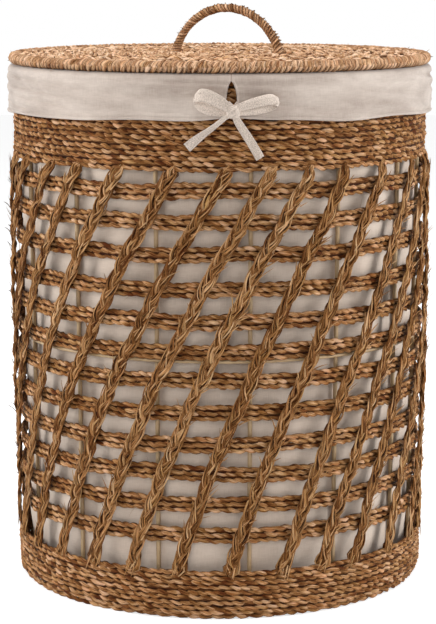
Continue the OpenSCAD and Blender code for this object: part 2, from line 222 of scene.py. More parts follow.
class Weave:
    """Strands that become one mesh, each a run of rings of corners."""

    def __init__(self):
        self.points, self.tone, self.deep, self.count = [], [], [], 0
        self.faces, self.places = [], []

    def add(self, rings, tone, deep, u, v, closed):
        """rings is (rings, corners, 3), and deep is the painted shade of each corner. u runs along the strand
        and v across its fibres.
        """
        n, k = rings.shape[:2]
        index = self.count + np.arange(n * k).reshape(n, k)
        index = np.column_stack([index, index[:, 0]])
        place = np.stack([np.broadcast_to(u, (n, k + 1)), np.broadcast_to(v, (n, k + 1))], -1)
        if closed:
            index = np.vstack([index, index[:1]])
            place = np.vstack([place, 2 * place[-1:] - place[-2:-1]])
        self.faces.append(cells(index, True).reshape(-1, 4))
        self.places.append(cells(place, True).reshape(-1, 2))
        if not closed:
            self.faces += [index[:1, :-1], index[-1:, -2::-1]]
            self.places += [place[0, :-1], place[-1, :-1]]
        self.points.append(rings.reshape(-1, 3))
        self.tone.append(np.broadcast_to(tone, (n, k)).ravel())
        self.deep.append(np.broadcast_to(deep, (n, k)).ravel())
        self.count += n * k

    def strand(self, centre, away, half_wide, half_thick, tone, rng, closed=False, sides=6, extra_shade=0.0,
               gap=None):
        """A strand of oval section along centre, its flat side facing away. Its painted shade grows towards
        its underside and by extra_shade; gap adds painted shade where it is hidden.
        """
        n = len(centre)
        _, side, out = axes_along(centre, away, closed)
        turn = (np.arange(sides) + 0.5) * TURN / sides
        wide = np.broadcast_to(half_wide, n)[:, None, None] * np.cos(turn)[None, :, None] * side[:, None]
        thick = np.broadcast_to(half_thick, n)[:, None, None] * np.sin(turn)[None, :, None] * out[:, None]
        along = lengths(centre, closed)[0] + rng.uniform(0, 50)
        deep = clamp(0.5 - 0.5 * np.sin(turn) + np.reshape(extra_shade, (-1, 1)))
        across = np.arange(sides + 1) / sides + rng.uniform(0, 50)
        rings = centre[:, None] + wide + thick
        if gap:
            deep = np.maximum(deep, gap(rings))
        self.add(rings, np.reshape(tone, (-1, 1)), deep, along[:, None], across, closed)

    def piece(self, name):
        sizes = np.concatenate([np.full(len(f), f.shape[1]) for f in self.faces])
        corners = np.concatenate([f.ravel() for f in self.faces])
        return mesh_piece(name, np.concatenate(self.points), sizes, corners, np.concatenate(self.places),
                          tone=np.concatenate(self.tone), deep=np.concatenate(self.deep))


def dress(piece, body, slot, material, *nodes):
    piece.data.materials.append(material)
    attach(piece, body)
    if nodes:
        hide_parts(*nodes)
    return piece


# ---- materials ----


def fresh(name):
    material = bpy.data.materials.new(name)
    material.use_nodes = True
    return material, material.node_tree, material.node_tree.nodes["Principled BSDF"]


def feed(tree, made, inputs):
    """Sets a node's inputs, each from another node's output or to a value."""
    for key, value in inputs.items():
        if isinstance(value, bpy.types.NodeSocket):
            tree.links.new(value, made.inputs[key])
        else:
            made.inputs[key].default_value = value


def node(tree, kind, inputs, **settings):
    made = tree.nodes.new("ShaderNode" + kind)
    for key, value in settings.items():
        setattr(made, key, value)
    feed(tree, made, inputs)
    return made


def noise(tree, scale, detail, roughness):
    """Noise stretched along a strand: scale is along it and across it."""
    place = node(tree, "UVMap", {}, uv_map="strand").outputs["UV"]
    stretched = node(tree, "Mapping", {"Vector": place, "Scale": (*scale, 1)})
    made = node(tree, "TexNoise", {"Vector": stretched.outputs[0], "Scale": 1, "Detail": detail,
                                   "Roughness": roughness}, noise_dimensions="2D")
    return made.outputs["Fac"]


def maths(tree, operation, *values, clamped=False):
    made = node(tree, "Math", dict(enumerate(values)), operation=operation)
    made.use_clamp = clamped
    return made.outputs[0]


def scaled(tree, value, factor, added, clamped=False):
    return maths(tree, "MULTIPLY_ADD", value, factor, added, clamped=clamped)


def mixed(tree, share, a, b, blend="MIX"):
    return node(tree, "Mix", {0: share, 6: a, 7: b}, data_type="RGBA", blend_type=blend).outputs[2]


def bumped(tree, height, strength, distance):
    return node(tree, "Bump", {"Height": height, "Strength": strength, "Distance": distance}).outputs[0]


def ramp(tree, share, *stops):
    made = node(tree, "ValToRGB", {"Fac": share})
    elements = made.color_ramp.elements
    while len(elements) < len(stops):
        elements.new(0.5)
    for element, (place, colour) in zip(elements, stops):
        element.position = place
        element.color = colour
    return made.outputs["Color"]


RUDDY = linear(255, 222, 200)
# The dark brown that painted shade mixes in.
PAINTED_GAP_SHADE = linear(44, 13, 0)


def grass(name, dark, mid, light, pale, green):
    """Dried grass: fine streaks along each strand, patches of tone, and painted shade in seams and crevices.
    """
    material, tree, shader = fresh(name)
    tone = node(tree, "Attribute", {}, attribute_name="tone").outputs["Fac"]
    deep = node(tree, "Attribute", {}, attribute_name="deep").outputs["Fac"]
    streaks = noise(tree, (70, 13), 5, 0.68)
    patches = noise(tree, (38, 1.3), 2, 0.5)
    greenish = scaled(tree, noise(tree, (9, 0.7), 2, 0.5), 3.2, -1.55, clamped=True)
    ruddy = scaled(tree, noise(tree, (26, 2.3), 2, 0.5), 3.4, -1.55, clamped=True)
    level = scaled(tree, streaks, 1.7, -0.84)
    level = scaled(tree, patches, 0.75, level)
    level = scaled(tree, tone, 0.14, level)
    level = maths(tree, "ADD", level, 0.1)
    colour = ramp(tree, level, (0.1, linear(*dark)), (0.4, linear(*mid)), (0.64, linear(*light)),
                  (0.9, linear(*pale)))
    colour = mixed(tree, maths(tree, "MULTIPLY", greenish, 0.55), colour, linear(*green), "MULTIPLY")
    colour = mixed(tree, maths(tree, "MULTIPLY", ruddy, 0.6), colour, RUDDY, "MULTIPLY")
    # Painted shade: the colour goes towards dark brown where deep is high.
    shade = maths(tree, "POWER", maths(tree, "MULTIPLY", deep, 1.2, clamped=True), 1.5)
    colour = mixed(tree, maths(tree, "MULTIPLY", shade, 0.97), colour, PAINTED_GAP_SHADE)
    feed(tree, shader, {"Base Color": colour, "Roughness": scaled(tree, streaks, 0.3, 0.48),
                        "Specular IOR Level": 0.1, "Normal": bumped(tree, streaks, 1.0, 0.001)})
    return material


def cotton(name, colour, shadow, threads, slub, weave=0.9):
    """Plain woven cotton: crossed threads, uneven yarn and a soft nap."""
    material, tree, shader = fresh(name)
    warp = noise(tree, (threads, slub), 3, 0.6)
    weft = noise(tree, (slub, threads), 3, 0.6)
    cloud = noise(tree, (18, 46), 5, 0.6)
    yarn = maths(tree, "ADD", warp, weft)
    share = maths(tree, "ADD", scaled(tree, yarn, weave, 0.25 - weave), -0.35)
    share = scaled(tree, cloud, 1.5, share, clamped=True)
    feed(tree, shader, {"Base Color": mixed(tree, share, linear(*shadow), linear(*colour)), "Roughness": 0.9,
                        "Specular IOR Level": 0.15, "Sheen Weight": 0.25, "Sheen Roughness": 0.6,
                        "Normal": bumped(tree, yarn, 0.35, 0.0004)})
    return material


def paint(name, colour, worn):
    """Satin paint on wire, with small runs and dull patches."""
    material, tree, shader = fresh(name)
    place = node(tree, "TexCoord", {}).outputs["Object"]
    spots = node(tree, "TexNoise", {"Vector": place, "Scale": 160, "Detail": 5}).outputs["Fac"]
    clouds = node(tree, "TexNoise", {"Vector": place, "Scale": 22, "Detail": 2}).outputs["Fac"]
    share = scaled(tree, maths(tree, "ADD", spots, clouds), 1.1, -0.7, clamped=True)
    feed(tree, shader, {"Base Color": mixed(tree, share, linear(*worn), linear(*colour)),
                        "Roughness": scaled(tree, spots, 0.3, 0.32),
                        "Normal": bumped(tree, spots, 0.25, 0.0002)})
    return material


ROPE = grass("seagrass_rope", (86, 40, 8), (145, 98, 54), (193, 145, 98), (232, 188, 152), (228, 218, 150))
PLAIT = grass("seagrass_plait", (86, 42, 8), (152, 103, 56), (202, 151, 99), (230, 190, 146), (220, 214, 140))
LID = grass("seagrass_lid", (90, 46, 14), (176, 131, 92), (232, 190, 153), (255, 222, 192), (240, 228, 176))
COTTON = cotton("liner_cotton", (202, 187, 175), (150, 132, 120), 1700, 90, weave=0.45)
# A lighter copy of the liner cloth for the liner's wall and floor: painted light to make up for the shade
# inside the lattice.
BRIGHTENED_COTTON = cotton("liner_cotton_inside_brightened", (220, 201, 184), (200, 179, 161), 1700, 90)
TAPE = cotton("tie_tape", (217, 201, 187), (160, 142, 130), 1050, 950, weave=1.9)
WIRE = paint("frame_wire", (196, 168, 128), (158, 126, 88))

WIRES = ["bottom_hoop", "mid_hoop", "top_hoop", "lid_hoop", "lid_wires", "handle_core"]
for wire in WIRES + [f"upright_pair_{i}" for i in range(1, 8)]:
    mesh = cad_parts[wire].data
    mesh.materials.clear()
    mesh.materials.append(WIRE)


# ---- twisted ropes ----

ROPE_R = 2.45 * MM
COURSE = 4.72 * MM
ROW_COURSE = 5.05 * MM
ROPE_STEP = 2.8 * MM
COVERED_STEP = 4 * MM
SEEN_COURSES = 11
SHARED_POINTS = 360
LEVEL = np.zeros(SHARED_POINTS + 1)
ROPE_TWIST = 19 * MM
PLY_R, PLY_REACH = 1.42 * MM, 1.15 * MM
ROW_PLY_R = 1.5 * MM
PLY_WIDE, PLY_THICK = 1.17, 0.84
SHADE_FILLER_IN, SHADE_FILLER_W, SHADE_FILLER_T = 3.1 * MM, 1.5 * MM, 1.9 * MM
FOOT_R, FOOT_Z, FOOT_TWIST = 2.8 * MM, 2.75 * MM, 24 * MM
FOOT_PLY_R, FOOT_REACH = 1.65 * MM, 1.25 * MM
FOOT_CLEAR = 0.15 * MM
ROW_FIBRES, FIBRE_LENGTH = 26, 9 * MM
FOOT_TUCK = 1.33 * MM


def twist(weave, line, first, second, ply_r, reach, pitch, rng, closed=False, sides=5, tone=0.0):
    """Two uneven plies twined along a line, each thickest facing first; first and second span its section."""
    along, whole = lengths(line, closed)
    turns = round(whole / pitch) if closed else whole / pitch
    wave = wander_along(rng, line, closed)
    phase = rng.uniform(0, TURN) - TURN * turns * along / whole
    phase = phase + 0.45 * wave(60)

    # Painted shade beside each rope, where it meets the next course, and on its inner side.
    def gap(rings):
        off = rings - line[:, None]
        outward = (off * np.reshape(first, (-1, 1, 3))).sum(-1) / (reach + ply_r)
        beside = np.abs((off * np.reshape(second, (-1, 1, 3))).sum(-1)) / (reach + ply_r)
        return clamp(clamp(2.1 * beside - 1.2 - 0.8 * outward) + clamp(-1.6 * outward))

    for place in (0, 0.49):
        turned = phase + TURN * place + 0.25 * wave(28)
        swell = (0.96 + 0.26 * np.cos(turned)) * (1 + 0.13 * wave(13))
        front = reach * (1 + 0.13 * wave(18)) * np.cos(turned)
        level = 0.86 * reach * np.sin(turned) + 0.2 * MM * wave(14)
        hue = tone + rng.normal(0, 0.3) + wave(15)
        centre = line + front[:, None] * first + level[:, None] * second
        weave.strand(centre, first, ply_r * PLY_WIDE * swell, ply_r * PLY_THICK * swell, hue, rng, closed,
                     sides, gap=gap)


def rope_ring(weave, radius, height, rng, step=ROPE_STEP, ply_r=PLY_R, reach=PLY_REACH, pitch=ROPE_TWIST,
              drift=0.25 * MM, tone=0.0, rise=LEVEL, spread=LEVEL):
    """A closed ring of twisted rope; rise and spread are shared waviness along it."""
    n = round(TURN * radius / step)
    angle = math.pi + np.arange(n) * TURN / n
    shared = np.linspace(0, 1, SHARED_POINTS + 1)
    radii = radius + drift * wander(rng, n, 12) + np.interp(np.arange(n) / n, shared, spread)
    heights = height + drift * (wander(rng, n, 14) + 1.1 * wander(rng, n, 80))
    heights = heights + np.interp(np.arange(n) / n, shared, rise)
    line = around(radii, angle, heights)
    twist(weave, line, around(1, angle, 0), UP, ply_r, reach, pitch, rng, True, 6, tone)


def shade_filler(weave, outer, height, rng, rise=LEVEL):
    """Dark leaves laid set back between two courses: painted shade where the space between the ropes shows.
    """
    angle = math.pi + np.radians(np.arange(SHARED_POINTS))
    line = around(outer - SHADE_FILLER_IN, angle, height + rise[:-1])
    weave.strand(line, UP, SHADE_FILLER_W, SHADE_FILLER_T, -1.2, rng, closed=True, extra_shade=0.28)


def show_backs(weave, behind):
    """Lightens the painted shade on the leaves on the far side of a weave; behind says how far back each
    point lies.
    """
    for part, points in enumerate(weave.points):
        back = behind(points)
        lit = np.clip(1.0 - back / (3 * MM), 0.15, 1)
        weave.deep[part] = np.where(back > 1.2 * MM, np.minimum(lit, weave.deep[part]), weave.deep[part])


def inside_of(radius):
    return lambda points: radius - np.hypot(points[:, 0], points[:, 1])


def shared_wave(rng, size, waves):
    wave = wander(rng, SHARED_POINTS, waves) * size
    return np.append(wave, wave[0])


def fuzz(weave, count, place, length, rng, thick=0.16 * MM, sides=3):
    """Loose fibres: place gives a start, a direction and an outward direction for each."""
    for _ in range(count):
        start, ahead, out = place(rng)
        reach = length * rng.uniform(0.5, 1.3)
        bend = abs(rng.normal(0, 0.35))
        t = np.linspace(0, 1, 6)[:, None]
        line = start + reach * (t * ahead + t**2 * (out * bend + np.cross(ahead, out) * rng.normal(0, 0.3)))
        taper = thick * (1 - 0.75 * t[:, 0])
        weave.strand(line, np.tile(out, (6, 1)), taper * 1.3, taper, rng.normal(0.4, 0.6), rng, sides=sides)


def either_way(rng):
    return rng.choice([-1, 1])


def build_band(name, node_name, rng, courses=slice(None), step=ROPE_STEP, tuck=0.0):
    """Ropes stacked into some or all courses of a solid band; tuck draws its two lowest ones in."""
    low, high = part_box(node_name)
    first, last = low.z + ROPE_R, high.z - ROPE_R
    count = round((last - first) / COURSE)
    weave = Weave()
    for i in range(count + 1)[courses]:
        drawn = tuck * max(0, 1 - i / 2) ** 2
        level = first + (last - first) * i / count
        rope_ring(weave, high.x - ROPE_R - drawn, level, rng, step, drift=0.3 * MM)
        if i < count:
            shade_filler(weave, high.x - drawn, level + COURSE / 2, rng)
    show_backs(weave, inside_of(high.x - ROPE_R))
    dress(weave.piece(name), "basket", "seagrass_rope", ROPE, node_name)


def build_foot():
    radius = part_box("foot_rope")[1].x - FOOT_R
    rng = dice("foot rope")
    weave = Weave()
    rope_ring(weave, radius, FOOT_Z, rng, ply_r=FOOT_PLY_R, reach=FOOT_REACH, pitch=FOOT_TWIST)
    for points in weave.points:
        points[:, 2] = np.maximum(points[:, 2], FOOT_CLEAR)
    dress(weave.piece("foot_rope_twist"), "basket", "seagrass_rope", ROPE, "foot_rope")
    build_band("foot_band_ropes", "foot_band", rng, tuck=FOOT_TUCK)


def build_top_band():
    """The courses that show below the cuff, and the coarser ones that it covers."""
    rng = dice("top band")
    build_band("top_band_ropes", "top_band", rng, slice(SEEN_COURSES))
    build_band("top_band_covered", "top_band", rng, slice(SEEN_COURSES, None), COVERED_STEP)


def build_rows():
    for i in range(1, 13):
        node_name = f"lattice_row_{i:02d}"
        low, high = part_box(node_name)
        middle = (low.z + high.z) / 2
        rng = dice(node_name)
        rise, spread = shared_wave(rng, 0.7 * MM, 9), shared_wave(rng, 0.3 * MM, 12)
        weave = Weave()
        tone = rng.normal(0, 0.25)
        for course in (-1, 0, 1):
            rope_ring(weave, high.x - ROPE_R, middle + course * ROW_COURSE, rng, rise=rise, ply_r=ROW_PLY_R,
                      spread=spread, tone=tone)
        for gap in (-0.5, 0.5):
            shade_filler(weave, high.x, middle + gap * ROW_COURSE, rng, rise)

        def place(rng):
            angle = rng.uniform(0, TURN)
            way = around(1, angle + math.pi / 2, rng.normal(0, 0.5)) * either_way(rng)
            start = around(high.x - 1 * MM, angle, middle + rng.uniform(-6, 6) * MM)
            return start, unit(way), around(1, angle, 0)

        fuzz(weave, ROW_FIBRES, place, FIBRE_LENGTH, rng)
        show_backs(weave, inside_of(high.x - ROPE_R))
        dress(weave.piece(f"row_{i:02d}_ropes"), "basket", "seagrass_rope", ROPE, node_name)


# ---- plaits ----

PLAIT_REPEAT = 52 * MM
PLAIT_SWAY = 3.6 * MM
PLAIT_RISE = 1.6 * MM
PLAIT_PAST = 6 * MM
STRAND_TWIST = 130 * MM
STRAND_W, STRAND_T = 4.7 * MM, 0.9 * MM
LEAVES = 8
LEAF_W, LEAF_T = 0.7 * MM, 0.5 * MM
LOOSE_ENDS = 44
PLAIT_OUT = 0.9 * MM
PLAIT_DIP, DIP_LENGTH, TAPER_LENGTH = 1.8 * MM, 5 * MM, 7 * MM


def turned_by(angle, start):
    """How far an angle is from another one, the short way round."""
    return (angle - start + math.pi) % TURN - math.pi


def plait_lines(node_name):
    """The middle lines of a node's two plaits, read off the frame: (height, angle, radius, half width)."""
    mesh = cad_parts[node_name].data
    points = np.array([v.co for v in mesh.vertices], float)
    levels = np.unique(np.round(points[:, 2], 5))
    found = []
    for side in (0, 1):
        rows, last = [], None
        for z in levels:
            ring = np.unique(np.round(points[np.abs(points[:, 2] - z) < 2e-5], 6), axis=0)
            middle = angle_of(ring[0]) + side * math.pi if last is None else last
            ring = ring[np.abs(turned_by(angle_of(ring), middle)) < math.pi / 2]
            centre = ring.mean(0)
            angle = angle_of(centre)
            last = angle if last is None else last + turned_by(angle, last)
            wide = np.linalg.norm(ring - centre, axis=1).max()
            rows.append([z, last, np.linalg.norm(centre[:2]), wide])
        found.append(np.array(rows))
    return found


def swings(line, repeat, uneven, rng):
    """How far through its swing each of a plait's three strands is, along the line."""
    drift = uneven * wander_along(rng, line)(60)
    start = rng.uniform(0, TURN)
    return [start + TURN * (lengths(line)[0] / repeat + strand / 3) + drift for strand in range(3)]


def loosened(rng, weave, spot, hand, beside, off, lean, size, length):
    """A leaf's loose end, sizes in mm: it starts beside and off a plait, and leans by shares of its axes."""
    middle, ahead, side, out = spot
    start = middle + hand * side * beside * MM + out * off * MM
    ahead, side, out = lean[0] * ahead, lean[1] * hand * side, lean[2] * out
    t = np.linspace(0, 1, 7)[:, None]
    way = unit(ahead * rng.uniform(0.75, 1.1) + side * rng.uniform(0.15, 0.6) + out * rng.uniform(0.02, 0.4))
    curl = side * rng.normal(0, 0.25) + out * rng.normal(0.05, 0.2)
    line = start + length * MM * (t * way + t**2 * curl * 0.6)
    taper = size * MM * (1 - 0.8 * t[:, 0] ** 2)
    weave.strand(line, np.tile(out, (7, 1)), taper, taper * 0.4, rng.normal(0.6, 0.7), rng, sides=5)


def rope_plait(weave, line, out, wide, rng, tone):
    """Three flat bundles of leaves plaited along a line with that sway. Gives its points with their axes."""
    ahead, side, out = axes_along(line, out)
    wave = wander_along(rng, line)
    thirds = swings(line, PLAIT_REPEAT, 0.3, rng)
    slim = wide / wide.max()
    # Two dark packed bundles beneath the plait's sides, painted shade that shows between the strands.
    for hand in (-0.52, 0.52):
        packed = line + (hand * 1.1 * wide)[:, None] * side - (0.7 * MM * slim)[:, None] * out
        weave.strand(packed, out, 0.95 * wide, 1.2 * MM * slim, tone - 0.9, rng, extra_shade=0.32)
    for t in thirds:
        sway = np.sin(t) * wide * (1 + 0.12 * wave(50))
        middle = line + sway[:, None] * side + (PLAIT_RISE * slim * np.sin(2 * t))[:, None] * out
        _, across, up = axes_along(middle, out)
        roll = rng.uniform(0, TURN) + TURN * lengths(line)[0] / STRAND_TWIST + 0.6 * wave(50)
        hue = tone + rng.normal(0, 0.3)
        for leaf in range(LEAVES):
            turned = roll + TURN * leaf / LEAVES + 0.45 * wave(22)
            reach = slim * (1 - 0.34 * np.sin(t) ** 2) * (1 + 0.12 * wave(18))
            centre = (middle + (STRAND_W * reach * np.cos(turned))[:, None] * across
                      + (STRAND_T * reach * np.sin(turned))[:, None] * up)
            away = np.cos(turned)[:, None] * across + (np.sin(turned) + 0.5)[:, None] * up
            swell = 1 + 0.2 * wave(14)
            shade = hue + rng.normal(0, 0.9) + 0.9 * wave(22)
            # Painted shade where a strand passes beneath the others and on the leaves' backs, lighter at the
            # plait's edges.
            extra_shade = 0.1 - 0.36 * np.sin(2 * t) + 0.3 * clamp(-np.sin(turned)) - 0.3 * np.abs(np.cos(turned))
            weave.strand(centre, unit(away), LEAF_W * swell, LEAF_T * swell, shade, rng, extra_shade=extra_shade, sides=5)
    return np.stack([line, ahead, side, out], 1)


def plait_line(rows, row_levels, rng):
    """A plait's middle line: past the ends of its band it dips in, and it stands out over each row."""
    low, high = rows[0, 0], rows[-1, 0]
    z = np.linspace(low - PLAIT_PAST, high + PLAIT_PAST, 200)
    angle = np.interp(z, rows[:, 0], rows[:, 1])
    slope = (rows[1:, 1] - rows[:-1, 1]) / (rows[1:, 0] - rows[:-1, 0])
    angle += np.where(z < low, (z - low) * slope[0], 0)
    angle += np.where(z > high, (z - high) * slope[-1], 0)
    beat = np.cos(TURN * np.interp(z, row_levels, np.arange(len(row_levels))))
    radius = np.interp(z, rows[:, 0], rows[:, 2]) + PLAIT_OUT + PLAIT_OUT * beat
    angle += 0.8 * MM / radius * wander(rng, len(z), 14, False)
    radius -= PLAIT_DIP * clamp(np.maximum(low - z, z - high) / DIP_LENGTH)
    kernel = np.hanning(13) / np.hanning(13).sum()
    for values in (angle, radius):
        values[6:-6] = np.convolve(values, kernel, "valid")
    return resampled(around(radius, angle, z), 3.6 * MM)


def build_plaits():
    rows_boxes = [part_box(f"lattice_row_{i:02d}") for i in range(1, 13)]
    row_levels = sorted((low.z + high.z) / 2 for low, high in rows_boxes)
    for i in range(1, 15):
        node_name = f"plait_pair_{i:02d}"
        rng = dice(node_name)
        weave = Weave()
        for rows in plait_lines(node_name):
            line = plait_line(rows, row_levels, rng)
            heights = line[:, 2]
            past = np.maximum(rows[0, 0] - heights, heights - rows[-1, 0])
            wide = np.interp(heights, rows[:, 0], rows[:, 3]) / np.median(rows[:, 3])
            wide = PLAIT_SWAY * wide * (1 - np.clip(past / TAPER_LENGTH, 0, 0.7))
            outward = around(1, angle_of(line), 0)
            spots = rope_plait(weave, line, outward, wide, rng, rng.normal(0, 0.3))
            for spot in spots[rng.integers(6, len(line) - 10, LOOSE_ENDS)]:
                hand = rng.choice([-1, 1], p=[0.4, 0.6])
                loosened(rng, weave, spot, hand, rng.uniform(1, 6), rng.uniform(0.8, 2.4), (1, 1, 1),
                         rng.uniform(0.4, 0.8), rng.uniform(5, 15))
            for spot, way, count in ((spots[3], -1, 3), (spots[-8], 1, 5)):
                for _ in range(count):
                    loosened(rng, weave, spot, either_way(rng), rng.uniform(1, 5), 1.5, (way, 0.4, 0.3),
                             0.9, rng.uniform(7, 17))
        show_backs(weave, lambda points: np.interp(points[:, 2], rows[:, 0], rows[:, 2])
                   - np.hypot(points[:, 0], points[:, 1]))
        dress(weave.piece(f"plaits_{i:02d}"), "basket", "seagrass_plait", PLAIT, node_name)


# ---- wrapped rolls ----


def wrapping(weave, line, first, second, radius, strip, rng, closed, per_strip=7, sides=16, bulge=0.6 * MM,
             spread=0.25 * MM, slant=1, saw=0.0, tone=0.0, underside_shade=0.0, flare=0.0, vary=0.75, gap_shade=1.25):
    """Flat strips wound round a roll, each crowned and uneven; saw lifts one edge of it on the outside.
    Painted shade darkens the seams between strips and the roll's underside.
    """
    along, whole = lengths(line, closed)
    n = max(8, round(whole / strip * per_strip))
    places = np.arange(n) * whole / n if closed else np.linspace(0, whole, n)
    if closed:
        line, first, second = (np.vstack([x, x[:1]]) for x in (line, first, second))
        along = np.append(along, whole)
    line, first, second = (read_off(places, along, x) for x in (line, first, second))
    first, second = unit(first), unit(second)
    turns = max(1, round(whole / strip))
    warp = 0.17 * wander(rng, n, turns / 3, closed)
    turn = np.arange(sides + 1) * TURN / sides
    outer, low_side = clamp(np.cos(turn)), clamp(-np.sin(turn))
    phase = places[:, None] / whole * turns + warp[:, None] - slant * turn / TURN
    phase = phase + 0.06 * np.sin(2 * turn + 3 * wander(rng, n, turns / 5, closed)[:, None])
    number = np.floor(phase).astype(int)
    inside = phase - number
    crown = 1 - np.abs(2 * inside - 1) ** 3
    kinds = turns if closed else turns + 12
    lift = np.clip(rng.normal(size=kinds), -1.3, 1.3)[number % kinds]
    saw = np.reshape(saw, (-1, 1))
    tooth = saw * outer * inside**2 * (1 + 0.6 * lift)
    radii = radius - bulge + bulge * crown + spread * lift * crown + tooth
    if flare:
        radii = radii + (flare * np.exp(-np.minimum(places, whole - places) / (4 * MM)))[:, None]
    shades = tone + rng.normal(size=kinds)[number % kinds] * vary
    tip = (saw > 0.9 * MM) * clamp(np.cos(turn) * 1.4 - 0.2) * clamp(inside * 5 - 3.6)
    # Painted shade at the seams between strips and on the underside of the roll; the lifted saw tips are
    # darker too.
    deep = clamp(np.maximum(gap_shade * (1 - crown), tip) + underside_shade * low_side)
    rings = line[:, None] + radii[..., None] * (np.cos(turn)[None, :, None] * first[:, None]
                                                + np.sin(turn)[None, :, None] * second[:, None])
    u = np.tile(turn * radius, (n, 1)) + number * 0.037
    v = phase * strip / (9 * MM) + rng.uniform(0, 50)
    weave.add(rings[:, :0:-1], shades[:, :0:-1], deep[:, :0:-1], u[:, ::-1], v[:, ::-1], closed)


def ring_line(radius, height, n=720):
    """A level ring, with its outward and upward directions."""
    angle = math.pi + np.arange(n) * TURN / n
    return around(radius, angle, height), around(1, angle, 0), np.tile(UP, (n, 1))


RIM_STRIP = 6.5 * MM
LID_STRIP = 4.6 * MM


def roll_round(node_name):
    """The radius, height and half thickness of a roll that runs round the basket or its lid."""
    low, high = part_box(node_name)
    roll = (high.z - low.z) / 2
    return high.x - roll, (low.z + high.z) / 2, roll


def build_rim():
    radius, height, roll = roll_round("rim_binding")
    weave = Weave()
    wrapping(weave, *ring_line(radius, height), roll, RIM_STRIP, dice("rim"), True, per_strip=4, sides=12,
             spread=0.1 * MM)
    dress(weave.piece("rim_wrapping"), "basket", "seagrass_rope", ROPE, "rim_binding")


# ---- base ----

BASE_COURSE = 6.2 * MM
BASE_START, BASE_EDGE, BASE_STEP = 4 * MM, 3.2 * MM, 5 * MM
BASE_PLY_R, BASE_REACH, BASE_TWIST = 1.85 * MM, 1.3 * MM, 30 * MM


def spiral(inner, outer, course, height, step):
    turns = (outer - inner) / course
    angle = np.linspace(0, TURN * turns, max(16, int(TURN * turns * (inner + outer) / 2 / step)) * 2)
    return resampled(around(inner + course * angle / TURN, angle, height), step)


def build_base():
    low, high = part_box("base_disc")
    weave = Weave()
    line = spiral(BASE_START, high.x - BASE_EDGE, BASE_COURSE, low.z + (high.z - low.z) / 2, BASE_STEP)
    twist(weave, line, unit(line * [1, 1, 0]), UP, BASE_PLY_R, BASE_REACH, BASE_TWIST, dice("base"))
    dress(weave.piece("base_coil"), "basket", "seagrass_rope", ROPE, "base_disc")


# ---- cloth ----

WALL_THICK = 0.7 * MM
CUFF_THICK = 1.0 * MM


def cloth_grid(name, points, u, v, thick, closed=True, weld=None):
    """A sheet over a grid of points (rows, columns); weld says which rows join at the seam."""
    rows, columns = points.shape[:2]
    index = np.arange(rows * columns).reshape(rows, columns)
    if weld is not None:
        index[weld, -1] = index[weld, 0]
    if closed:
        index = np.column_stack([index, index[:, 0]])
    used, corners = np.unique(cells(index), return_inverse=True)
    place = np.stack([np.broadcast_to(u, index.shape), np.broadcast_to(v, index.shape)], -1)
    sizes = np.full(corners.size // 4, 4)
    made = mesh_piece(name, points.reshape(-1, 3)[used], sizes, corners.ravel(), cells(place))
    skin = made.modifiers.new("thickness", "SOLIDIFY")
    skin.thickness = thick
    skin.offset = -1
    skin.use_even_offset = False
    return made


def soft_field(rng, rows, columns, long_waves, high_waves, count=60):
    """Smooth random folds over a grid that closes on itself, about 1 high."""
    angle = np.arange(columns) / columns * TURN
    share = np.linspace(0, 1, rows)[:, None]
    field = np.zeros((rows, columns))
    for _ in range(count):
        k = rng.integers(1, long_waves + 1)
        m = rng.uniform(0, high_waves)
        field += np.sin(k * angle + TURN * m * share + rng.uniform(0, TURN)) * rng.normal()
    return field / math.sqrt(count / 2)


UPRIGHTS = 14
LINER_COLUMNS = 420
WALL_ROWS = 110
FLOOR_ROWS = 46
SWELL_FROM, SWELL_IN, SWELL_OUT = 22 * MM, 45 * MM, 60 * MM
BELLY = 3 * MM


def wall_swell(heights, angle, high):
    """How far the wall stands out at each height and angle: up to the uprights, and further between them."""
    feet = np.array([v.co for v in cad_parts["upright_pair_1"].data.vertices], float)
    reach = np.hypot(feet[:, 0], feet[:, 1])
    ends = [feet[:, 2] < feet[:, 2].min() + 2 * MM, feet[:, 2] > feet[:, 2].max() - 2 * MM]
    wire_in = np.interp(heights, [feet[e, 2].mean() for e in ends], [reach[e].min() for e in ends])
    first = angle_of(feet)[(feet[:, 1] < 0) & ends[0]].mean()
    taut = eased((heights - SWELL_FROM) / SWELL_IN) * eased((high.z - heights) / SWELL_OUT)
    belly = 0.5 - 0.5 * np.cos(UPRIGHTS * (angle - first))
    return (taut * (wire_in - 0.5 * MM - high.x))[:, None] + BELLY * taut[:, None] * belly


